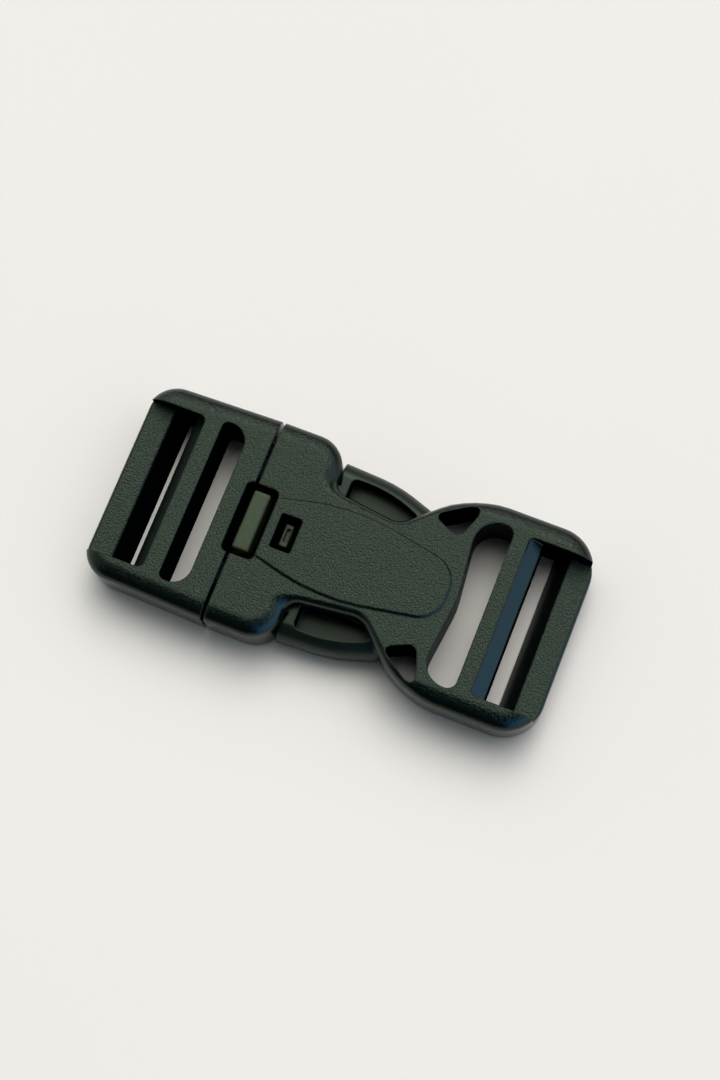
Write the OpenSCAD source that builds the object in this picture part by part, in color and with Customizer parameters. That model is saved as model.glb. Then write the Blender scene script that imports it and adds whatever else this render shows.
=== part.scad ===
// Fastened pushbutton buckle with two web slots in each half.
// X runs from the plug to the socket, Y across the webbing, Z up. The origin is the bottom centre.
// Inside the modules X is counted from the seam between the two halves.

/* [Overall] */
// Length of the plug, from its outer end to the seam
plug_l = 21.5; // [20:0.5:24]
// Length of the socket, from the seam to its outer end
socket_l = 53.7; // [52.5:0.1:56]
// Height of the frames
body_h = 9.6; // [9.2:0.1:10.4]
// Half the width across the shoulder
shoulder_y = 17.05; // [16.8:0.05:17.6]
// Half the width across the plug's end
plug_end_y = 16.4; // [16.2:0.05:16.8]
// Half the width across the socket's head
head_y = 16.65; // [16.2:0.05:16.8]
// Gap left at the seam
seam_gap = 0.6; // [0.3:0.05:0.7]

/* [Web slots] */
// Width of the webbing that the slots take
web_w = 25; // [24:0.5:25.5]
// Play of the webbing in the two inner slots, both sides together
web_play = 2; // [1:0.1:2.4]
// Width of the plug's inner slot along X
inner_slot_w = 4.5; // [4.2:0.1:4.8]
// Top of the plug's end bar
plug_bar_z = 6.7; // [6:0.1:7.2]
// Top of the socket's end bar
socket_bar_z = 5.3; // [4.8:0.1:6]

/* [Sleeve] */
// Thickness of the socket's top wall
top_wall = 2.7; // [2.5:0.1:3]
// Thickness of the socket's bottom wall
bottom_wall = 1.7; // [1.5:0.1:1.9]
// Half the width of the sleeve's mouth
mouth_y = 11.3; // [11.2:0.05:11.8]
// Far end of the shoulder
shoulder_x = 11.5; // [11.3:0.1:11.6]
// Gap above and below the side arms
arm_gap = 0.3; // [0.2:0.05:0.4]
// Height by which the oval pad stands proud
pad_rise = 0.3; // [0.2:0.05:0.5]

/* [Side arms] */
// Half the width across the pressed faces of the arms
arm_y = 14.7; // [14.2:0.05:14.8]
// Start of the arm heads, behind the shoulder
arm_head_x = 11.35; // [11.3:0.05:11.6]
// Floor left under the pocket in each arm
pocket_floor = 0.9; // [0.6:0.1:1.2]

/* [Push button] */
// Width of the button's face along X
face_w = 2.75; // [2.4:0.05:2.9]
// Length of the button's face across the buckle
face_l = 9.8; // [9:0.1:10]
// Depth of the button's face below the top of the frame
face_drop = 0.1; // [0:0.05:0.4]
// Radius of the pivot pins
pin_r = 0.7; // [0.6:0.05:0.75]
// Running clearance round the pivot pins
pin_play = 0.05; // [0.03:0.01:0.08]

/* [Hidden] */
eps = 0.01;
past = 2;
arc_step = 11;
total_l = plug_l + socket_l;
seam_x = plug_l - total_l / 2;
inner_slot_y = (web_w + web_play) / 2;
outer_slot_y = inner_slot_y - 0.4;
sleeve_top = body_h - top_wall;
cut_top = body_h + pad_rise + past;

// Rounding of the long edges, as inset and height, and the tilts between which the top one turns
top_round = [3, 1.9];
foot_round = [0.6, 0.9];
top_tilt = [4, 68];
foot_tilt = [0, 90];
top_steps = 5;
foot_steps = 3;
taper = atan2(shoulder_y - plug_end_y, plug_l);

// Button recess and tooth window, from above
recess_x = [-1.4, 4];
recess_y = 5.9;
window_x = [5.6, 9.1];
window_y = 2.85;

// Lever: its pivot in x and z, the pocket that holds its hub, the half lengths of hub, pins and bores
pivot = [-2.1, 4.2];
lever_pocket_x = -3.45;
lever_pocket_z = 1.5;
hub_r = 1.15;
hub_y = 5.6;
pin_y = 7.8;
bore_y = 8.1;
round_steps = 48;

// Lever: its face, beam and tooth
face_x = 0.1;
face_foot_z = 3.4;
beam_end = [8.5, 5.6];
beam_y = 3.2;
tooth_x = [6.65, 7.9];
tooth_y = 1.8;
tooth_z = [5, 8.2];

// Inner edges of the two middle bars' slopes, the space for the arm heads, and the neck behind it
plug_mid_x = -11.45;
socket_mid_x = 42.5;
waist_x = [12, 27.6];
neck_x = 23;

// Side arms: underside of the heads, slant of their front faces, and rounding of their outer edges
arm_foot_z = 0.4;
arm_slant = 0.6;
arm_top_round = [2.6, 2.2];
arm_foot_round = [0.6, 1];

dark_plastic = [0.11, 0.125, 0.12];
lever_plastic = [0.2, 0.22, 0.21];

// Corners of each half's far side, from the seam outwards, as x, y, radius
plug_far = [
    [-seam_gap / 2, shoulder_y, 0],
    [-plug_l, plug_end_y, 5]
];
socket_far = [
    [seam_gap / 2, shoulder_y, 0],
    [shoulder_x, shoulder_y, 5.2],
    [shoulder_x, 9.5, 2],
    [22.9, 8.15, 3],
    [32.35, head_y, 14.8],
    [socket_l, head_y, 6.5]
];

// Plan of the far side arm: the beam through the sleeve, then the head behind the shoulder
arm_corners = [
    [-0.5, 7.4, 0],
    [27.6, 7.4, 1.5],
    [27.6, arm_y - 2.45, 1.3],
    [20.3, arm_y, 20],
    [arm_head_x, arm_y + 0.45, 0],
    [arm_head_x + arm_slant, mouth_y - 0.4, 0],
    [-0.5, mouth_y - 0.4, 0]
];
pocket_corners = [
    [13.3, 8.6, 1],
    [25, 8.6, 0.8],
    [25, arm_y - 4.05, 0.7],
    [19.5, arm_y - 1.8, 18],
    [13.3, arm_y - 1.95, 1]
];

// What is cut from under the far arm, so that only its head reaches down beside the socket's floor
under_arm_corners = [
    [-past, 6, 0],
    [30, 6, 0],
    [30, 14.8, 0],
    [24.6, 10.1, 0],
    [12.7, 10.1, 0],
    [11.4, 11.4, 0],
    [-past, 11.4, 0]
];

// Plan of the inner slots and holes
plug_slot_x = [-8.7, -8.7 + inner_slot_w];
wave_corners = [
    [40.2, -inner_slot_y, 1.5],
    [40.2, inner_slot_y, 1.5],
    [34.2, inner_slot_y, 3.9],
    [35.75, 0, 12],
    [34.2, -inner_slot_y, 3.9]
];
tear_corners = [
    [27.55, 11.1, 0.85],
    [32.45, 8.85, 1.3],
    [35.2, 16.2, 1.3]
];

// Far side of the oval pad
pad_far = [
    [3.9, 4.9, 0],
    [15.5, 7.9, 30],
    [34.2, 4.5, 4.4]
];

// Side views of the outer slots with their bars, as x, z, radius: what they cut away
plug_bar_cut = [
    [-plug_l - past, cut_top, 0],
    [-plug_l - past, plug_bar_z - 1.9, 0],
    [-plug_l, plug_bar_z - 1.9, 0],
    [-plug_l, plug_bar_z + 0.3, 0.7],
    [-17.3, plug_bar_z - 0.2, 0.5],
    [-15.3, -past, 0],
    [-13.4, -past, 0],
    [-13.4, body_h - 2.2, 0.6],
    [plug_mid_x, body_h, 0.5],
    [plug_mid_x, cut_top, 0]
];
socket_bar_cut = [
    [socket_mid_x, cut_top, 0],
    [socket_mid_x, body_h, 1.2],
    [45, body_h - 2, 0.5],
    [45, -past, 0],
    [47, -past, 0],
    [47.2, 0.8, 0.6],
    [49.6, socket_bar_z, 0.5],
    [socket_l, socket_bar_z - 0.1, 0.6],
    [socket_l, socket_bar_z - 2.2, 0],
    [socket_l + past, socket_bar_z - 2.2, 0],
    [socket_l + past, cut_top, 0]
];

function unit(v) = v / norm(v);
function outward(d) = [d[1], -d[0]];
function turned(v, a) = [v[0] * cos(a) - v[1] * sin(a), v[0] * sin(a) + v[1] * cos(a)];

// One rounded corner, as points along its arc
function corner_points(before, at, after) =
    let (
        p = [at[0], at[1]],
        d1 = unit(p - [before[0], before[1]]),
        d2 = unit([after[0], after[1]] - p),
        turn = atan2(cross(d1, d2), d1 * d2),
        side = sign(turn),
        r = at[2],
        start = p - d1 * r * tan(abs(turn) / 2),
        centre = start - outward(d1) * r * side,
        steps = ceil(abs(turn) / arc_step)
    )
    r == 0 ? [p]
    : [for (k = [0 : steps]) centre + turned(outward(d1), turn * k / steps) * r * side];

function rounded(corners) =
    let (count = len(corners))
    [for (i = [0 : count - 1])
        each corner_points(corners[(i + count - 1) % count], corners[i], corners[(i + 1) % count])];

function reversed(rows) = [for (i = [len(rows) - 1 : -1 : 0]) rows[i]];
function mirrored(far) = [for (c = far) [c[0], -c[1], c[2]]];
function both_sides(far) = concat(mirrored(far), reversed(far));

// A rounding between two tilts of its surface, as shares of its inset and of its height
function arc_shares(tilt, steps) =
    let (width = sin(tilt[1]) - sin(tilt[0]), depth = cos(tilt[0]) - cos(tilt[1]))
    [for (k = [0 : steps]) let (a = tilt[0] + (tilt[1] - tilt[0]) * k / steps)
        [(sin(tilt[1]) - sin(a)) / width, (cos(tilt[0]) - cos(a)) / depth]];

// A far side seen along X, from the foot up: z holds its lowest and highest point
function flank_points(half, z = [0, body_h], foot = foot_round, top = top_round) = concat(
    [for (p = arc_shares(foot_tilt, foot_steps)) [half - foot[0] * p[0], z[0] + foot[1] * p[1]]],
    [for (p = reversed(arc_shares(top_tilt, top_steps))) [half - top[0] * p[0], z[1] - top[1] * p[1]]]
);

module prism(corners, z0, z1) {
    translate([0, 0, z0]) linear_extrude(z1 - z0) polygon(rounded(corners));
}

// A side view in x and z, drawn out to both sides of the middle plane
module across(corners, half) {
    rotate([90, 0, 0]) translate([0, 0, -half]) linear_extrude(2 * half) polygon(rounded(corners));
}

// A view along X in y and z, drawn out from x0 to x1
module along(points, x0, x1) {
    translate([x0, 0, 0]) rotate([90, 0, 90]) linear_extrude(x1 - x0) polygon(points);
}

function box_corners(x, half, r0, r1) =
    [[x[0], -half, r0], [x[1], -half, r1], [x[1], half, r1], [x[0], half, r0]];

module both_halves() {
    children();
    mirror([0, 1, 0]) children();
}

// What lies both inside the children and inside their mirror image
module shared_with_mirror() {
    intersection() {
        children();
        mirror([0, 1, 0]) children();
    }
}

// Plug frame before its slots: the plan, cut to rounded flanks that follow the taper
module plug_block() {
    far_side = 2 * shoulder_y;
    flank = concat([[-far_side, 0]], flank_points(shoulder_y), [[-far_side, body_h]]);
    intersection() {
        prism(both_sides(reversed(plug_far)), 0, body_h);
        shared_with_mirror()
            translate([0, shoulder_y, 0]) rotate([0, 0, taper]) translate([0, -shoulder_y, 0])
                along(flank, -plug_l - past, past);
    }
}

// Socket before its slots: the plan, cut to rounded flanks at the shoulder and at the head
module socket_block() {
    intersection() {
        prism(both_sides(socket_far), 0, body_h);
        union() {
            flank_bar(shoulder_y, 0, neck_x);
            flank_bar(head_y, neck_x - 1, socket_l + past);
        }
    }
}

module flank_bar(half, x0, x1) {
    far_flank = flank_points(half);
    along(concat(far_flank, reversed([for (p = far_flank) [-p[0], p[1]]])), x0, x1);
}

module button_recess() {
    prism(box_corners(recess_x, recess_y, 0.9, 0.9), sleeve_top - eps, cut_top);
}

// All that lies on the near side of a rounded face along the line between two corners
module behind_face(a, b, z) {
    reach = 40;
    flank = concat([[-reach, z[0]]], flank_points(0, z, arm_foot_round, arm_top_round), [[-reach, z[1]]]);
    translate([a[0], a[1], 0]) rotate([0, 0, atan2(b[1] - a[1], b[0] - a[0])]) along(flank, -reach, reach);
}

module arm() {
    z0 = bottom_wall + arm_gap;
    z1 = sleeve_top - arm_gap;
    difference() {
        intersection() {
            prism(arm_corners, arm_foot_z, z1);
            behind_face(arm_corners[4], arm_corners[3], [arm_foot_z, z1]);
            behind_face(arm_corners[3], arm_corners[2], [arm_foot_z, z1]);
        }
        prism(under_arm_corners, -past, z0);
        prism(pocket_corners, z0 + pocket_floor, z1 + past);
    }
}

// A rod along the lever's pivot
module lever_rod(r, half) {
    translate([pivot[0], 0, pivot[1]]) rotate([90, 0, 0])
        cylinder(r = r, h = 2 * half, center = true, $fn = round_steps);
}

// Pocket for the lever behind the seam, with a bore in each cheek
module lever_pocket() {
    translate([lever_pocket_x, -recess_y, lever_pocket_z])
        cube([-lever_pocket_x + past, 2 * recess_y, sleeve_top - lever_pocket_z]);
    lever_rod(pin_r + pin_play, bore_y);
}

module plug() {
    color(dark_plastic) translate([seam_x, 0, 0]) {
        difference() {
            plug_block();
            prism(box_corners(plug_slot_x, inner_slot_y, 1, 3), -past, cut_top);
            intersection() {
                across(plug_bar_cut, outer_slot_y);
                prism(box_corners([-plug_l - 2 * past, plug_mid_x + eps], outer_slot_y - eps, 0, 1.2),
                    -2 * past, cut_top + past);
            }
            button_recess();
            lever_pocket();
        }
        both_halves() arm();
    }
}

// The space for the side arms, open at both sides of the waist
module sleeve_space() {
    prism(box_corners([-past, waist_x[0] + 1], mouth_y, 0, 0), bottom_wall, sleeve_top);
    prism(box_corners(waist_x, shoulder_y + past, 0, 0), bottom_wall, sleeve_top);
}

module oval_pad() {
    prism(both_sides(pad_far), body_h - 0.5, body_h + pad_rise);
}

module socket() {
    color(dark_plastic) translate([seam_x, 0, 0]) difference() {
        union() {
            socket_block();
            oval_pad();
        }
        sleeve_space();
        button_recess();
        prism(box_corners(window_x, window_y, 0.4, 0.4), sleeve_top - eps, cut_top);
        prism(wave_corners, -past, cut_top);
        both_halves() prism(tear_corners, -past, cut_top);
        intersection() {
            across(socket_bar_cut, outer_slot_y);
            prism(box_corners([socket_mid_x - eps, socket_l + 2 * past], outer_slot_y - eps, 1.2, 0),
                -2 * past, cut_top + past);
        }
    }
}

// Lever with the button face, the pivot pins and the locking tooth
module push_button() {
    face_z = body_h - face_drop;
    face = [[face_x, face_foot_z, 0], [face_x + face_w, face_foot_z, 0],
        [face_x + face_w, face_z, 0.35], [face_x, face_z, 0.35]];
    beam = [[pivot[0], pivot[1] - hub_r, 0], [beam_end[0], pivot[1] + 0.2, 0.3],
        [beam_end[0], beam_end[1], 0.3], [pivot[0], pivot[1] + hub_r, 0]];
    tooth = [[tooth_x[0], tooth_z[0], 0], [tooth_x[1], tooth_z[0], 0],
        [tooth_x[1], tooth_z[1], 0.2], [tooth_x[0], tooth_z[1], 0.2]];
    color(lever_plastic) translate([seam_x, 0, 0]) {
        across(face, face_l / 2);
        across(beam, beam_y);
        across(tooth, tooth_y);
        lever_rod(hub_r, hub_y);
        lever_rod(pin_r, pin_y);
    }
}

plug();
socket();
push_button();
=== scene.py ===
"""Looks of a fastened pushbutton buckle: two moulded halves, side arms and a push button, on a pale table.

The solids of the frame are replaced by finer ones with the same plans and side views.
"""

import math

import bmesh
import bpy
from bpy.props import FloatProperty, FloatVectorProperty, PointerProperty
from mathutils import Matrix, Vector


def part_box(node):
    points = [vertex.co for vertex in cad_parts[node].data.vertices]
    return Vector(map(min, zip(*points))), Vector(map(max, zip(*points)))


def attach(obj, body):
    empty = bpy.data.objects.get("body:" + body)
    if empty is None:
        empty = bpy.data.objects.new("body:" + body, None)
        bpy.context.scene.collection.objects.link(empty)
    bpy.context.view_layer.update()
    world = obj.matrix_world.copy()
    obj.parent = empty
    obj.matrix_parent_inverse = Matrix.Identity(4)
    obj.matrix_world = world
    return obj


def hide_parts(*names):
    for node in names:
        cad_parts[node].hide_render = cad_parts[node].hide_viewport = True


bl_info = {
    "name": "Pushbutton buckle",
    "version": (1, 0, 0),
    "blender": (4, 5, 0),
    "location": "View3D > Sidebar > Buckle",
    "description": "Builds the moulded halves, side arms and push button of a fastened buckle",
    "category": "Object",
}

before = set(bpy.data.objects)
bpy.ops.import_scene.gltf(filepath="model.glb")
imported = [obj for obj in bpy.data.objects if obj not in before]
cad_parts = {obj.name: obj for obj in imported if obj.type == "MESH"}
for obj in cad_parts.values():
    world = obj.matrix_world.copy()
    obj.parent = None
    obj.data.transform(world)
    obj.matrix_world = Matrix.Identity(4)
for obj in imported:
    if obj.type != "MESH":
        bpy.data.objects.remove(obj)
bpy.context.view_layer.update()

# Pieces are drawn in millimetres, with X counted from the seam, and then placed in the frame
MM = 0.001
SEAM_GAP = 0.6
SEAM_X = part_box("socket")[0].x - SEAM_GAP / 2 * MM
PLUG_END = (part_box("plug")[0].x - SEAM_X) / MM
SOCKET_END = (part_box("socket")[1].x - SEAM_X) / MM
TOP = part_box("plug")[1].z / MM
PAD_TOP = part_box("socket")[1].z / MM
SHOULDER_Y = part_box("socket")[1].y / MM

# Half widths of the ends, end of the shoulder, and the hollow of the sleeve
PLUG_END_Y = 16.4
HEAD_Y = 16.65
SHOULDER_X = 11.5
SLEEVE_FLOOR = 1.7
SLEEVE_TOP = TOP - 2.7
MOUTH_Y = 11.3
WAIST_X = (12.0, 27.6)

# Side arms: the two ends of the slanted front face, gap above and below, underside, floor under the pocket
ARM_HEAD_X = (11.35, 11.95)
ARM_GAP = 0.3
ARM_FOOT = 0.4
POCKET_FLOOR = 0.9

# Web slots: half lengths, tops of the end bars, inner edges of the sloping bars, plug's inner slot, corners
INNER_SLOT_Y = 13.5
OUTER_SLOT_Y = 13.1
PLUG_BAR_Z = 6.7
SOCKET_BAR_Z = 5.3
PLUG_MID_X = -11.45
SOCKET_MID_X = 42.5
PLUG_SLOT_X = (-8.7, -4.2)
PLUG_SLOT_CORNERS = (1, 3)
OUTER_SLOT_CORNER = 1.2

# Button recess and tooth window, from above
RECESS_X = (-1.4, 4)
RECESS_Y = 5.9
RECESS_CORNER = 0.9
WINDOW_X = (5.6, 9.1)
WINDOW_Y = 2.85
WINDOW_CORNER = 0.4

# Lever: pivot in x and z, near corner of its pocket, then radius and half length of what turns on the pivot
PIVOT = (-2.1, 4.2)
LEVER_POCKET = (-3.45, 1.5)
HUB = (1.15, 5.6)
PINS = (0.7, 7.8)
BORES = (0.75, 8.1)

# Lever: button face, beam, and tooth with the hollow in its top
FACE_X = (0.1, 2.85)
FACE_Y = 4.9
FACE_Z = (3.4, TOP - 0.1)
FACE_CORNER = 0.35
BEAM_Y = 3.2
TOOTH_X = (6.65, 7.9)
TOOTH_Y = 1.8
TOOTH_Z = (5, 8.2)
HOLLOW_X = (7.05, 7.65)
HOLLOW_Y = 1.15
HOLLOW_Z = 7.6
TOOTH_CORNER = 0.2

# How far cutters reach past a face, and a sliver that keeps two faces out of one plane
PAST = 2.0
SLIVER = 0.01

# Heights of the cutters that go right through and of those that open the sleeve's top wall, and depth of the
# pad's root
THROUGH = (-PAST, TOP + PAST)
TOP_WALL = (SLEEVE_TOP - SLIVER, TOP + PAST)
PAD_DEPTH = 0.5

# Half plans, as x, y and the corner's radius, from the seam outwards
PLUG_SIDE = [
    (-SEAM_GAP / 2, SHOULDER_Y, 0),
    (PLUG_END, PLUG_END_Y, 5),
]
SOCKET_SIDE = [
    (SEAM_GAP / 2, SHOULDER_Y, 0),
    (SHOULDER_X, SHOULDER_Y, 5.2),
    (SHOULDER_X, 9.5, 2),
    (22.9, 8.15, 3),
    (32.35, HEAD_Y, 14.8),
    (SOCKET_END, HEAD_Y, 6.5),
]
PAD_SIDE = [
    (3.9, 4.9, 0),
    (15.5, 7.9, 30),
    (34.2, 4.5, 4.4),
]
ARM_PLAN = [
    (-0.5, 7.4, 0),
    (27.6, 7.4, 1.5),
    (27.6, 12.25, 1.3),
    (20.3, 14.7, 20),
    (ARM_HEAD_X[0], 15.15, 0),
    (ARM_HEAD_X[1], 10.9, 0),
    (-0.5, 10.9, 0),
]
UNDER_ARM_PLAN = [
    (-PAST, 6, 0),
    (30, 6, 0),
    (30, 14.8, 0),
    (24.6, 10.1, 0),
    (12.7, 10.1, 0),
    (11.4, 11.4, 0),
    (-PAST, 11.4, 0),
]
POCKET_PLAN = [
    (13.3, 8.6, 1),
    (25, 8.6, 0.8),
    (25, 10.65, 0.7),
    (19.5, 12.9, 18),
    (13.3, 12.75, 1),
]
WAVE_PLAN = [
    (40.2, -INNER_SLOT_Y, 1.5),
    (40.2, INNER_SLOT_Y, 1.5),
    (34.2, INNER_SLOT_Y, 3.9),
    (35.75, 0, 12),
    (34.2, -INNER_SLOT_Y, 3.9),
]
TEAR_PLAN = [
    (27.55, 11.1, 0.85),
    (32.45, 8.85, 1.3),
    (35.2, 16.2, 1.3),
]

# Side view of the lever's beam, as x, z and radius
BEAM_VIEW = [
    (PIVOT[0], 3.05, 0),
    (8.5, 4.4, 0.3),
    (8.5, 5.6, 0.3),
    (PIVOT[0], 5.35, 0),
]

# Side views of the outer slots with their bars, as x, z and radius: what they cut away
PLUG_BAR_CUT = [
    (PLUG_END - PAST, TOP + PAST, 0),
    (PLUG_END - PAST, PLUG_BAR_Z - 1.9, 0),
    (PLUG_END, PLUG_BAR_Z - 1.9, 0),
    (PLUG_END, PLUG_BAR_Z + 0.3, 0.7),
    (-17.3, PLUG_BAR_Z - 0.2, 0.5),
    (-15.3, -PAST, 0),
    (-13.4, -PAST, 0),
    (-13.4, TOP - 2.2, 0.6),
    (PLUG_MID_X, TOP, 0.5),
    (PLUG_MID_X, TOP + PAST, 0),
]
SOCKET_BAR_CUT = [
    (SOCKET_MID_X, TOP + PAST, 0),
    (SOCKET_MID_X, TOP, 1.2),
    (45, TOP - 2, 0.5),
    (45, -PAST, 0),
    (47, -PAST, 0),
    (47.2, 0.8, 0.6),
    (49.6, SOCKET_BAR_Z, 0.5),
    (SOCKET_END, SOCKET_BAR_Z - 0.1, 0.6),
    (SOCKET_END, SOCKET_BAR_Z - 2.2, 0),
    (SOCKET_END + PAST, SOCKET_BAR_Z - 2.2, 0),
    (SOCKET_END + PAST, TOP + PAST, 0),
]

# Roundings of the long edges, as inset and height, and the tilts between which the top ones turn
FOOT_ROUND = (0.6, 0.9)
TOP_ROUND = (3.0, 1.9)
ARM_FOOT_ROUND = (0.6, 1.0)
ARM_TOP_ROUND = (2.6, 2.2)
PAD_TOP_ROUND = (0.45, 0.33)
FACE_TOP_ROUND = (0.3, 0.4)
SHARP_FOOT = (0, 0.1)
TOP_TILT = (math.radians(4), math.radians(68))
FOOT_STEPS = 6
TOP_STEPS = 8
ARC_STEP = math.radians(7)
ROD_STEPS = 48

# How much of the rounding the waist gets, and between which places it grows to the full one at shoulder, head
# and arms; and the least share of its height
ROUND_NECK_Y = (9.5, 10.7)
WAIST_SHARE = 0.42
MID_WAIST_X = 20
GROWING_HEAD_X = (28, 38.5)
GROWING_ARM_Y = (10.95, 12.55)
LEAST_RISE = 0.6

# Angle that stays sharp in the shading, how much large faces count in it, and the lean at which a cut wall
# counts as an outside face
CREASE = math.radians(32)
LARGE_FACES = 60
WALL_LEAN = 0.3

# Names of the materials
GRAINED = "grained_black_plastic"
ARM = "side_arm_plastic"
SATIN = "satin_black_plastic"
INSIDE = "dull_black_plastic"
SMOOTH = "smooth_black_plastic"
TABLE = "table_top"

# Optics of the plastics, with the specular level of each, and samples of the rim rounding
PLASTIC_IOR = 1.4
GLOSS_TINT = (0.82, 1, 0.85, 1)
GLOSS = {GRAINED: 0.45, ARM: 0.42, SMOOTH: 0.3, SATIN: 0.12, INSIDE: 0}
RIM_SAMPLES = 6

# Leather grain: how far up a face has to look for its colour, a tone with a painted sheen that is lighter
# than the roundings, and for its relief, as the normal's z; the heights of valley and crest with their shares
# of the colour, a painted shade in the valleys and a painted highlight on the crests; and roughness with what
# grain and patches add
GRAIN_AND_SHEEN_UP = (0.955, 0.995)
RELIEF_UP = (0.72, 0.93)
VALLEY_CREST = (0.6, 1.1)
VALLEY_SHADE_SHARE = 0.5
CREST_HIGHLIGHT_SHARE = 1.6
GRAIN_ROUGH = (0.18, 0.24, 0.05)
PATCH_SCALE = 140

# Cells of the grain: scale and reach of what bends them, softness of their borders, and scale and height of
# the finer roughness, with one cell as the unit
BENDING = (0.6, 0.9)
SOFT_BORDER = 0.35
FINER = (2.4, 0.35)

# Pale specks of dust: colour and strength, scale, which of the specks show, and the radius where they fade
DUST = (0.35, 0.36, 0.33, 1)
DUST_STRENGTH = 0.5
DUST_SCALE = 0.45
DUST_RARITY = (0.965, 0.975)
DUST_RADIUS = (0.07, 0.16)

# Streaks of the plastics without grain: scale along x, y and z, detail, span of the noise that is used,
# darkest and lightest share of the colour, relief as strength and height in metres, and roughness with
# what the streaks add to it
DRAWN = ((5000, 5000, 600), 3, (0.35, 0.65), (0.5, 1), (0.5, 0.00002), (0.5, 0.1))
POLISHED = ((9000, 900, 900), 2, (0.3, 0.7), (1, 1.35), (0.3, 0.00001), (0.32, 0.1))

# Table: half width in metres, scale and darkest share of its unevenness, roughness, and specular level
TABLE_HALF = 3
TABLE_CLOUDS = 9
TABLE_SHARE = 0.97
TABLE_ROUGH = 0.8
TABLE_GLOSS = 0.1


class BuckleSizes(bpy.types.PropertyGroup):
    """Sizes that the looks add to the solids."""

    rim_round: FloatProperty(
        name="Rim rounding",
        description="Width of the small rounding on slot rims and moulded edges",
        default=0.4 * MM, min=0, unit="LENGTH")
    grain_size: FloatProperty(
        name="Grain size",
        description="Width of one cell of the leather grain on the top faces",
        default=0.29 * MM, min=0.0001, unit="LENGTH")
    grain_depth: FloatProperty(
        name="Grain depth",
        description="Height of the leather grain",
        default=0.095 * MM, min=0, unit="LENGTH")


class BuckleColours(bpy.types.PropertyGroup):
    """Colours of the plastics and of the table."""

    frame_colour: FloatVectorProperty(
        name="Frame plastic", description="Black plastic of the two halves",
        default=(0.0012, 0.0032, 0.0025), size=3, min=0, max=1, subtype="COLOR")
    # Tone of the grain with a painted sheen, lighter than the frame colour that the roundings get, and the
    # base of the grain's painted highlights and shade
    grain_and_sheen_colour: FloatVectorProperty(
        name="Grained faces", description="The same plastic where the leather grain catches light",
        default=(0.0175, 0.0285, 0.0195), size=3, min=0, max=1, subtype="COLOR")
    arm_colour: FloatVectorProperty(
        name="Side arms", description="Smooth black plastic of the side arms",
        default=(0.003, 0.006, 0.004), size=3, min=0, max=1, subtype="COLOR")
    button_colour: FloatVectorProperty(
        name="Button plastic", description="Smooth black plastic of the push button",
        default=(0.03, 0.04, 0.024), size=3, min=0, max=1, subtype="COLOR")
    table_colour: FloatVectorProperty(
        name="Table", description="Off-white table top",
        default=(0.84, 0.8, 0.81), size=3, min=0, max=1, subtype="COLOR")


class Wire:
    """A shader socket that takes part in Python sums."""

    def __init__(self, graph, socket):
        self.graph = graph
        self.socket = socket

    def maths(self, operation, *others):
        made = self.graph.node("ShaderNodeMath", {"operation": operation}, dict(enumerate(others)))
        return made.wire()

    def __add__(self, other):
        return self.maths("ADD", self, other)

    def __rsub__(self, other):
        return self.maths("SUBTRACT", other, self)

    def __mul__(self, other):
        return self.maths("MULTIPLY", self, other)

    __radd__ = __add__
    __rmul__ = __mul__

    def ramp(self, low, high):
        """0 below low, 1 above high, and smooth between."""
        values = {"Value": self, "From Min": low, "From Max": high}
        made = self.graph.node("ShaderNodeMapRange", {"interpolation_type": "SMOOTHSTEP"}, values)
        return made.wire("Result")


class Node:
    """A node whose outputs are wires."""

    def __init__(self, graph, made):
        self.graph = graph
        self.made = made

    def wire(self, output=0):
        return Wire(self.graph, self.made.outputs[output])


class Graph:
    """A node tree that is filled by calls of one method."""

    def __init__(self, tree):
        self.tree = tree
        tree.nodes.clear()

    def node(self, kind, settings=None, sockets=None):
        made = self.tree.nodes.new(kind)
        for name, value in (settings or {}).items():
            setattr(made, name, value)
        for name, value in (sockets or {}).items():
            if isinstance(value, Wire):
                self.tree.links.new(value.socket, made.inputs[name])
            else:
                made.inputs[name].default_value = value
        return Node(self, made)

    def mixed(self, factor, first, second):
        """One colour going over into another, through the numbered colour sockets of the mix node."""
        sockets = {"Factor": factor, 6: first, 7: second}
        return self.node("ShaderNodeMix", {"data_type": "RGBA"}, sockets).wire(2)


def new_graph(name):
    """The empty graph of a new material."""
    made = bpy.data.materials.new(name)
    made.use_nodes = True
    return Graph(made.node_tree)


def shade(colour, share=1):
    """A lighter or darker share of the colour, as an opaque socket value."""
    return (*(min(1, share * part) for part in colour), 1)


def rounded_rims(graph, sizes):
    """Normals that round off the rims."""
    return graph.node("ShaderNodeBevel", {"samples": RIM_SAMPLES}, {"Radius": sizes.rim_round}).wire()


def surface(graph, rims, relief, tone, rough, gloss):
    """Ends the graph of a plastic. relief holds its strength, its height in metres and its pattern."""
    bump = graph.node("ShaderNodeBump", None, {
        "Strength": relief[0], "Distance": relief[1], "Height": relief[2], "Normal": rims})
    shader = graph.node("ShaderNodeBsdfPrincipled", None, {
        "Base Color": tone, "Roughness": rough, "Normal": bump.wire(), "IOR": PLASTIC_IOR,
        "Specular IOR Level": gloss, "Specular Tint": GLOSS_TINT})
    graph.node("ShaderNodeOutputMaterial", None, {"Surface": shader.wire()})


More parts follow.
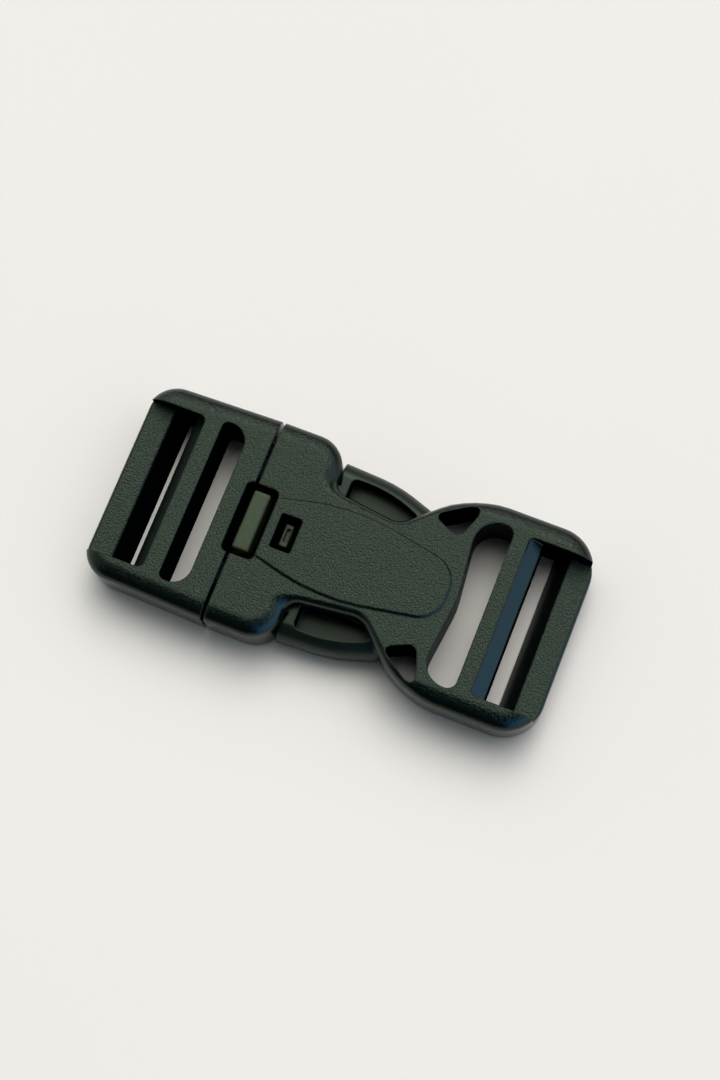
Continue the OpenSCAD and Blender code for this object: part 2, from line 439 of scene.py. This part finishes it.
def grained_plastic(name, colour, grain_and_sheen_colour, sizes):
    """Black moulded plastic: a fine leather grain with a painted sheen on faces that look up, smooth where
    edges round off.
    """
    graph = new_graph(name)
    size = sizes.grain_size
    spot = graph.node("ShaderNodeTexCoord").wire("Object")
    rims = rounded_rims(graph, sizes)
    up = graph.node("ShaderNodeSeparateXYZ", None, {0: rims}).wire("Z")
    # Faces that look up get the grain and a painted sheen that makes them lighter than the roundings
    grain_and_sheen = up.ramp(*GRAIN_AND_SHEEN_UP)
    rugged = up.ramp(*RELIEF_UP)

    # Uneven rounded cells with a finer roughness on them
    wander = graph.node("ShaderNodeTexNoise", None, {"Vector": spot, "Scale": BENDING[0] / size, "Detail": 2})
    shift = graph.node("ShaderNodeVectorMath", {"operation": "SCALE"},
                       {0: wander.wire("Color"), "Scale": BENDING[1] * size}).wire()
    bent = graph.node("ShaderNodeVectorMath", {"operation": "ADD"}, {0: spot, 1: shift}).wire()
    cells = graph.node("ShaderNodeTexVoronoi", {"feature": "SMOOTH_F1"},
                       {"Vector": bent, "Scale": 1 / size, "Smoothness": SOFT_BORDER}).wire("Distance")
    fine = graph.node("ShaderNodeTexNoise", None,
                      {"Vector": spot, "Scale": FINER[0] / size, "Detail": 3}).wire("Fac")
    hills = 1 - cells + FINER[1] * fine
    patch = graph.node("ShaderNodeTexNoise", None,
                       {"Vector": spot, "Scale": PATCH_SCALE, "Detail": 2}).wire("Fac")

    # A rare pale speck in the middle of a larger cell
    dust = graph.node("ShaderNodeTexVoronoi", None, {"Vector": spot, "Scale": DUST_SCALE / size})
    chance = graph.node("ShaderNodeSeparateColor", None, {0: dust.wire("Color")}).wire("Red")
    speck = chance.ramp(*DUST_RARITY) * (1 - dust.wire("Distance").ramp(*DUST_RADIUS))

    # Painted shade in the valleys and painted highlights on the crests, following the grain's relief
    valley = shade(grain_and_sheen_colour, VALLEY_SHADE_SHARE)
    crest = shade(grain_and_sheen_colour, CREST_HIGHLIGHT_SHARE)
    base = graph.mixed(grain_and_sheen, shade(colour), graph.mixed(hills.ramp(*VALLEY_CREST), valley, crest))
    # Real pale specks of dust over that tone with its painted sheen
    dust_and_sheen = graph.mixed(speck * DUST_STRENGTH * grain_and_sheen, base, DUST)
    rough = GRAIN_ROUGH[0] + GRAIN_ROUGH[1] * grain_and_sheen + GRAIN_ROUGH[2] * patch
    surface(graph, rims, (1, sizes.grain_depth, hills * rugged), dust_and_sheen, rough, GLOSS[name])


def streaked_plastic(name, colour, streaking, sizes):
    """The plastic without grain, with faint streaks, for the button, the arms and the walls of the slots."""
    scale, detail, span, shares, relief, rough = streaking
    graph = new_graph(name)
    spot = graph.node("ShaderNodeTexCoord").wire("Object")
    stretched = graph.node("ShaderNodeMapping", None, {"Vector": spot, "Scale": scale}).wire()
    noise = {"Vector": stretched, "Scale": 1, "Detail": detail}
    streaks = graph.node("ShaderNodeTexNoise", None, noise).wire("Fac")
    tone = graph.mixed(streaks.ramp(*span), shade(colour, shares[0]), shade(colour, shares[1]))
    rims = rounded_rims(graph, sizes)
    surface(graph, rims, (*relief, streaks), tone, rough[0] + rough[1] * streaks, GLOSS[name])


def table_top(name, colour):
    """A matt off-white table with a barely visible unevenness."""
    graph = new_graph(name)
    spot = graph.node("ShaderNodeTexCoord").wire("Object")
    clouds = graph.node("ShaderNodeTexNoise", None,
                        {"Vector": spot, "Scale": TABLE_CLOUDS, "Detail": 3}).wire("Fac")
    tone = graph.mixed(clouds, shade(colour, TABLE_SHARE), shade(colour))
    shader = graph.node("ShaderNodeBsdfPrincipled", None, {
        "Base Color": tone, "Roughness": TABLE_ROUGH, "IOR": PLASTIC_IOR, "Specular IOR Level": TABLE_GLOSS})
    graph.node("ShaderNodeOutputMaterial", None, {"Surface": shader.wire()})


def mirrored(side):
    """Both sides of a half plan, as one closed ring of corners."""
    return [(x, -y, radius) for x, y, radius in side] + side[::-1]


def flipped(plan):
    """The same plan on the other side of the middle plane."""
    return [(x, -y, radius) for x, y, radius in plan[::-1]]


def add_plan(bm, corners, height=0.0):
    """One flat face with rounded corners."""
    points = [Vector((x, y, height)) for x, y, radius in corners]
    verts = [bm.verts.new(point) for point in points]
    bm.faces.new(verts)
    for i, (x, y, radius) in enumerate(corners):
        ahead = points[(i + 1) % len(points)] - points[i]
        turn = (points[i] - points[i - 1]).angle(ahead)
        if radius:
            bmesh.ops.bevel(
                bm, geom=[verts[i]], offset=radius * math.tan(turn / 2), offset_type="OFFSET",
                segments=max(2, math.ceil(turn / ARC_STEP)), profile=0.5, affect="VERTICES",
                material=-1, clamp_overlap=False)
    return bm.faces[:][0]


def prism(corners, low, high):
    """A block with that plan, from low to high."""
    bm = bmesh.new()
    face = add_plan(bm, corners, low)
    raised = bmesh.ops.extrude_face_region(bm, geom=[face])["geom"]
    moved = [part for part in raised if isinstance(part, bmesh.types.BMVert)]
    bmesh.ops.translate(bm, verts=moved, vec=(0, 0, high - low))
    bmesh.ops.recalc_face_normals(bm, faces=bm.faces)
    return bm


def across(corners, half):
    """A block with that side view in x and z, drawn out to both sides of the middle plane."""
    bm = prism(corners, -half, half)
    bmesh.ops.rotate(bm, cent=(0, 0, 0), matrix=Matrix.Rotation(math.pi / 2, 3, "X"), verts=bm.verts)
    return bm


def oblong(x, half, near_radius, far_radius):
    """Corners of a plan between two x values, rounded differently at its two ends."""
    return mirrored([(x[0], half, near_radius), (x[1], half, far_radius)])


def arc(start, end, steps):
    """A rounding between two tilts of its surface, as shares of its inset and of its height."""
    tilts = [start + (end - start) * k / steps for k in range(steps + 1)]
    width = math.sin(end) - math.sin(start)
    depth = math.cos(start) - math.cos(end)
    insets = [(math.sin(end) - math.sin(tilt)) / width for tilt in tilts]
    rises = [(math.cos(start) - math.cos(tilt)) / depth for tilt in tilts]
    return list(zip(insets, rises))


def between(value, low, high):
    """How far the value has come from low to high, from 0 to 1."""
    return min(1, max(0, (value - low) / (high - low)))


def outer_slot(side_view, x, radii):
    """What an outer slot cuts away, with rounded corners beside the middle bar."""
    plan = oblong(x, OUTER_SLOT_Y - SLIVER, *radii)
    return common(across(side_view, OUTER_SLOT_Y), prism(plan, -2 * PAST, TOP + 2 * PAST))


def moulded_block(corners, low, high, foot, top, share=lambda point: 1.0, cut=(0, 0)):
    """A block whose long edges are rounded.

    foot and top hold the rounding's inset and height. share says how much of the rounding a point of the
    outline gets. Where x lies within cut, the block ends in a plain face and the outline moves along Y alone.
    """
    bm = bmesh.new()
    cap = add_plan(bm, corners)
    ring = [vert.co.copy() for vert in cap.verts]
    inward = []
    for i, point in enumerate(ring):
        along = ring[(i + 1) % len(ring)] - ring[i - 1]
        sideways = cap.normal.cross(along).normalized()
        if cut[0] < point.x < cut[1]:
            sideways = Vector((0, -math.copysign(1, point.y), 0))
        inward.append(sideways)
    rows = [(foot, step, low, 1) for step in arc(0, math.pi / 2, FOOT_STEPS)]
    rows += [(top, step, high, -1) for step in arc(*TOP_TILT, TOP_STEPS)[::-1]]
    for number, (rounding, step, level, upward) in enumerate(rows):
        if number:
            cap = bmesh.ops.extrude_discrete_faces(bm, faces=[cap])["faces"][0]
        for vert, point, sideways in zip(cap.verts, ring, inward):
            part = share(point)
            inset = rounding[0] * part * step[0]
            rise = rounding[1] * (LEAST_RISE + (1 - LEAST_RISE) * part) * step[1]
            vert.co = point + sideways * inset + Vector((0, 0, level + upward * rise))
    rim = [edge for edge in bm.edges if edge.is_boundary]
    bmesh.ops.contextual_create(bm, geom=rim)
    bmesh.ops.recalc_face_normals(bm, faces=bm.faces)
    return bm


def rod(radius, half):
    """A round rod across the buckle, on the lever's pivot."""
    bm = bmesh.new()
    bmesh.ops.create_cone(
        bm, cap_ends=True, segments=ROD_STEPS, radius1=radius, radius2=radius, depth=2 * half,
        matrix=Matrix.Translation((PIVOT[0], 0, PIVOT[1])) @ Matrix.Rotation(math.pi / 2, 4, "X"))
    return bm


def as_object(name, bm, materials=()):
    """An object that holds the bmesh, still in millimetres from the seam."""
    mesh = bpy.data.meshes.new(name)
    bm.to_mesh(mesh)
    bm.free()
    for material in materials:
        mesh.materials.append(bpy.data.materials[material])
    made = bpy.data.objects.new(name, mesh)
    bpy.context.scene.collection.objects.link(made)
    return made


def paint(shapes, index):
    """Gives the shapes the material with that number among the materials of their piece."""
    for shape in shapes:
        for face in shape.faces:
            face.material_index = index


def common(first, second):
    """The space that two shapes share."""
    made = as_object("tool", first)
    other = as_object("tool", second)
    step = made.modifiers.new("Common", "BOOLEAN")
    step.operation = "INTERSECT"
    step.solver = "EXACT"
    step.object = other
    seen = made.evaluated_get(bpy.context.evaluated_depsgraph_get())
    bm = bmesh.new()
    bm.from_mesh(seen.to_mesh())
    for tool in (made, other):
        bpy.data.objects.remove(tool)
    return bm


def shaped(name, block, added=(), removed=(), materials=(GRAINED, INSIDE)):
    """The block with shapes joined to it and others cut out of it, placed in the frame.

    The first material is the outside's, and the second goes on the steep walls that are left by the cuts.
    """
    made = as_object(name, block, materials)
    tools = []
    for operation, shapes in (("UNION", added), ("DIFFERENCE", removed)):
        for shape in shapes:
            for face in shape.faces:
                face.material_index = face.material_index or operation == "DIFFERENCE"
            tool = as_object("tool", shape, materials)
            step = made.modifiers.new(operation.title(), "BOOLEAN")
            step.operation = operation
            step.solver = "EXACT"
            step.object = tool
            tools.append(tool)
    seen = made.evaluated_get(bpy.context.evaluated_depsgraph_get())
    mesh = bpy.data.meshes.new_from_object(seen)
    made.modifiers.clear()
    made.data = mesh
    mesh.name = name
    for face in mesh.polygons:
        if face.material_index == 1 and abs(face.normal.z) > WALL_LEAN:
            face.material_index = 0
    for tool in tools:
        bpy.data.objects.remove(tool)
    mesh.transform(Matrix.Translation((SEAM_X, 0, 0)) @ Matrix.Scale(MM, 4))
    return made


def finish_piece(made, body, node):
    """Smooths the shading between the creases and ties the piece to the frame."""
    made.data.shade_smooth()
    made.data.set_sharp_from_angle(angle=CREASE)
    weights = made.modifiers.new("Shading", "WEIGHTED_NORMAL")
    weights.weight = LARGE_FACES
    weights.keep_sharp = True
    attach(made, body)
    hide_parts(node)


def socket_share(point):
    """How much of the edge rounding the socket's outline gets: less at the waist than at its two ends."""
    if point.x < SHOULDER_X + SLIVER and abs(point.y) > ROUND_NECK_Y[1]:
        return 1.0
    if point.x < MID_WAIST_X:
        return WAIST_SHARE + (1 - WAIST_SHARE) * between(abs(point.y), *ROUND_NECK_Y)
    grown = between(point.x, *GROWING_HEAD_X)
    return WAIST_SHARE + (1 - WAIST_SHARE) * grown * grown * (3 - 2 * grown)


def arm_share(point):
    """How much of the edge rounding an arm's outline gets: all on the outside, none on the inside."""
    return between(abs(point.y), *GROWING_ARM_Y)


class BUCKLE_OT_plug(bpy.types.Operator):
    """Build the plug: the frame with two web slots, without its side arms"""

    bl_idname = "buckle.plug"
    bl_label = "Plug"

    def execute(self, context):
        block = moulded_block(mirrored(PLUG_SIDE), 0, TOP, FOOT_ROUND, TOP_ROUND, cut=(-SEAM_GAP, 0))
        outer_x = (PLUG_END - 2 * PAST, PLUG_MID_X + SLIVER)
        removed = [
            prism(oblong(PLUG_SLOT_X, INNER_SLOT_Y, *PLUG_SLOT_CORNERS), *THROUGH),
            outer_slot(PLUG_BAR_CUT, outer_x, (0, OUTER_SLOT_CORNER)),
            prism(oblong(RECESS_X, RECESS_Y, RECESS_CORNER, RECESS_CORNER), *TOP_WALL),
            prism(oblong((LEVER_POCKET[0], PAST), RECESS_Y, 0, 0), LEVER_POCKET[1], SLEEVE_TOP),
            rod(*BORES),
        ]
        finish_piece(shaped("plug_frame", block, removed=removed), "buckle", "plug")
        return {"FINISHED"}


class BUCKLE_OT_side_arms(bpy.types.Operator):
    """Build the two side arms of the plug, with the open pockets in their heads"""

    bl_idname = "buckle.side_arms"
    bl_label = "Side arms"

    def execute(self, context):
        low = SLEEVE_FLOOR + ARM_GAP
        high = SLEEVE_TOP - ARM_GAP
        for name, turned in (("side_arm_far", list), ("side_arm_near", flipped)):
            block = moulded_block(
                turned(ARM_PLAN), ARM_FOOT, high, ARM_FOOT_ROUND, ARM_TOP_ROUND, arm_share, (0, WAIST_X[0]))
            removed = [
                prism(turned(UNDER_ARM_PLAN), -PAST, low),
                prism(turned(POCKET_PLAN), low + POCKET_FLOOR, high + PAST),
            ]
            made = shaped(name, block, removed=removed, materials=(ARM, INSIDE))
            finish_piece(made, "buckle", "plug")
        return {"FINISHED"}


class BUCKLE_OT_socket(bpy.types.Operator):
    """Build the socket: shoulder, waist and head with their openings, and the raised oval pad"""

    bl_idname = "buckle.socket"
    bl_label = "Socket"

    def execute(self, context):
        block = moulded_block(
            mirrored(SOCKET_SIDE), 0, TOP, FOOT_ROUND, TOP_ROUND, socket_share, (0, SEAM_GAP))
        pad = moulded_block(mirrored(PAD_SIDE), TOP - PAD_DEPTH, PAD_TOP, SHARP_FOOT, PAD_TOP_ROUND)
        wave = prism(WAVE_PLAN, *THROUGH)
        paint([wave], 2)
        outer_x = (SOCKET_MID_X - SLIVER, SOCKET_END + 2 * PAST)
        removed = [
            wave,
            prism(oblong((-PAST, WAIST_X[0] + 1), MOUTH_Y, 0, 0), SLEEVE_FLOOR, SLEEVE_TOP),
            prism(oblong(WAIST_X, SHOULDER_Y + PAST, 0, 0), SLEEVE_FLOOR, SLEEVE_TOP),
            prism(oblong(RECESS_X, RECESS_Y, RECESS_CORNER, RECESS_CORNER), *TOP_WALL),
            prism(oblong(WINDOW_X, WINDOW_Y, WINDOW_CORNER, WINDOW_CORNER), *TOP_WALL),
            prism(TEAR_PLAN, *THROUGH),
            prism(flipped(TEAR_PLAN), *THROUGH),
            outer_slot(SOCKET_BAR_CUT, outer_x, (OUTER_SLOT_CORNER, 0)),
        ]
        made = shaped("socket_shell", block, added=[pad], removed=removed, materials=(GRAINED, INSIDE, SATIN))
        finish_piece(made, "buckle", "socket")
        return {"FINISHED"}


class BUCKLE_OT_push_button(bpy.types.Operator):
    """Build the push button: face, lever, locking tooth and pivot pins"""

    bl_idname = "buckle.push_button"
    bl_label = "Push button"

    def execute(self, context):
        face = moulded_block(
            oblong(FACE_X, FACE_Y, FACE_CORNER, FACE_CORNER), *FACE_Z, SHARP_FOOT, FACE_TOP_ROUND)
        tooth = prism(oblong(TOOTH_X, TOOTH_Y, TOOTH_CORNER, TOOTH_CORNER), *TOOTH_Z)
        hidden = [across(BEAM_VIEW, BEAM_Y), rod(*HUB), rod(*PINS)]
        paint(hidden, 2)
        hollow = prism(oblong(HOLLOW_X, HOLLOW_Y, TOOTH_CORNER, TOOTH_CORNER), HOLLOW_Z, TOOTH_Z[1] + PAST)
        made = shaped(
            "push_button_lever", face, added=[tooth, *hidden], removed=[hollow],
            materials=(SMOOTH, INSIDE, INSIDE))
        finish_piece(made, "button", "push_button")
        return {"FINISHED"}


class BUCKLE_OT_materials(bpy.types.Operator):
    """Make the plastics of the buckle and the table top"""

    bl_idname = "buckle.materials"
    bl_label = "Materials"

    def execute(self, context):
        colours = context.scene.buckle_colours
        sizes = context.scene.buckle_sizes
        grained_plastic(GRAINED, colours.frame_colour, colours.grain_and_sheen_colour, sizes)
        streaked_plastic(ARM, colours.arm_colour, POLISHED, sizes)
        streaked_plastic(SMOOTH, colours.button_colour, POLISHED, sizes)
        streaked_plastic(SATIN, colours.frame_colour, DRAWN, sizes)
        streaked_plastic(INSIDE, colours.frame_colour, DRAWN, sizes)
        table_top(TABLE, colours.table_colour)
        return {"FINISHED"}


# Camera: where it stands and what it aims at on the table, in millimetres, its turn about the view axis in
# degrees, its lens and sensor in millimetres, and the nearest and farthest that it sees in metres
CAMERA_PLACE = Vector((38.39, -52.94, 279.11))
CAMERA_AIM = Vector((1.02, 5.19, 0))
CAMERA_ROLL = 11.38
CAMERA_LENS = 60
CAMERA_SENSOR = 36
CAMERA_SIGHT = (0.01, 20)

# Levels of the sky: its near side, its two ends, its far side and the softbox overhead
SKY_NEAR = (0.012, 0.02, 0.017, 1)
SKY_ENDS = (0.62, 0.72, 0.7, 1)
SKY_FAR = (1.5, 1.52, 1.55, 1)
SKY_SOFTBOX = (3.9, 3.95, 3.5, 1)

# Where they set in and where they are full, as parts of the direction: the ends along x, the far side along
# y and z, and the softbox along its own axis
ENDS_X = (0.45, 0.9)
FAR_Y = (-0.15, 0.45)
FAR_Z = (0.15, 0.6)
SOFTBOX_AXIS = Vector((-0.1, 0.5, 0.86))
SOFTBOX_SPAN = (0.86, 0.98)

# Area lights that look at the buckle: name, place and size in metres, power, colour, and whether they also
# light what is matt
LIGHTS = (
    ("far_light", (-0.05, 0.7, 0.8), (0.5, 0.5), 1.5, (1, 0.99, 0.95), True),
    ("window", (0.69, -0.28, 0.3), (1.25, 0.58), 4.6, (0.1, 0.42, 1), False),
)


def add_camera(scene):
    """The camera at the photograph's angle."""
    data = bpy.data.cameras.new("camera")
    data.lens = CAMERA_LENS
    data.sensor_width = CAMERA_SENSOR
    data.clip_start, data.clip_end = CAMERA_SIGHT
    made = bpy.data.objects.new("camera", data)
    scene.collection.objects.link(made)
    made.location = CAMERA_PLACE * MM
    look = (CAMERA_AIM - CAMERA_PLACE).to_track_quat("-Z", "Y").to_matrix()
    made.rotation_euler = (look @ Matrix.Rotation(math.radians(-CAMERA_ROLL), 3, "Z")).to_euler()
    scene.camera = made


def add_area_light(scene, name, place, size, power, colour, on_matt):
    """A soft rectangular light."""
    data = bpy.data.lights.new(name, "AREA")
    data.shape = "RECTANGLE"
    data.size = size[0]
    data.size_y = size[1]
    data.energy = power
    data.color = colour
    made = bpy.data.objects.new(name, data)
    scene.collection.objects.link(made)
    made.location = place
    made.rotation_euler = (-Vector(place)).to_track_quat("-Z", "Y").to_euler()
    made.visible_diffuse = on_matt


def studio_sky(scene):
    """Soft light from above and from the far side, over a dark near side."""
    world = bpy.data.worlds.new("studio")
    world.use_nodes = True
    scene.world = world
    graph = Graph(world.node_tree)
    towards = graph.node("ShaderNodeTexCoord").wire("Generated")
    parts = graph.node("ShaderNodeSeparateXYZ", None, {0: towards})
    x, y, z = (parts.wire(axis) for axis in "XYZ")
    far = y.ramp(*FAR_Y) * z.ramp(*FAR_Z)
    softbox = (z * SOFTBOX_AXIS.z + y * SOFTBOX_AXIS.y + x * SOFTBOX_AXIS.x).ramp(*SOFTBOX_SPAN)
    ends = x.maths("ABSOLUTE", x).ramp(*ENDS_X)
    with_ends = graph.mixed(ends, SKY_NEAR, SKY_ENDS)
    with_far = graph.mixed(far, with_ends, SKY_FAR)
    light = graph.mixed(softbox, with_far, SKY_SOFTBOX)
    ground = graph.node("ShaderNodeBackground", None, {"Color": light, "Strength": 1})
    graph.node("ShaderNodeOutputWorld", None, {"Surface": ground.wire()})


class BUCKLE_OT_stage(bpy.types.Operator):
    """Set the table, the lights and the camera"""

    bl_idname = "buckle.stage"
    bl_label = "Stage"

    def execute(self, context):
        scene = context.scene
        scene.view_settings.view_transform = "Standard"
        bm = bmesh.new()
        bmesh.ops.create_grid(bm, x_segments=1, y_segments=1, size=TABLE_HALF)
        as_object("table", bm, (TABLE,))
        add_camera(scene)
        studio_sky(scene)
        for light in LIGHTS:
            add_area_light(scene, *light)
        return {"FINISHED"}


class BUCKLE_PT_panel(bpy.types.Panel):
    """Lists the buckle's pieces and sizes"""

    bl_idname = "BUCKLE_PT_panel"
    bl_label = "Buckle"
    bl_space_type = "VIEW_3D"
    bl_region_type = "UI"
    bl_category = "Buckle"

    def draw(self, context):
        layout = self.layout
        for group in (context.scene.buckle_sizes, context.scene.buckle_colours):
            for name in group.bl_rna.properties.keys():
                if name not in ("rna_type", "name"):
                    layout.prop(group, name)
        for step in STEPS:
            layout.operator(step.bl_idname)


STEPS = (
    BUCKLE_OT_materials,
    BUCKLE_OT_plug,
    BUCKLE_OT_side_arms,
    BUCKLE_OT_socket,
    BUCKLE_OT_push_button,
    BUCKLE_OT_stage,
)
CLASSES = (BuckleSizes, BuckleColours, *STEPS, BUCKLE_PT_panel)


def register():
    for made in CLASSES:
        bpy.utils.register_class(made)
    bpy.types.Scene.buckle_sizes = PointerProperty(type=BuckleSizes)
    bpy.types.Scene.buckle_colours = PointerProperty(type=BuckleColours)


def unregister():
    del bpy.types.Scene.buckle_colours
    del bpy.types.Scene.buckle_sizes
    for made in reversed(CLASSES):
        bpy.utils.unregister_class(made)


def main():
    register()
    bpy.ops.buckle.materials()
    bpy.ops.buckle.plug()
    bpy.ops.buckle.side_arms()
    bpy.ops.buckle.socket()
    bpy.ops.buckle.push_button()
    bpy.ops.buckle.stage()


if __name__ == "__main__":
    main()
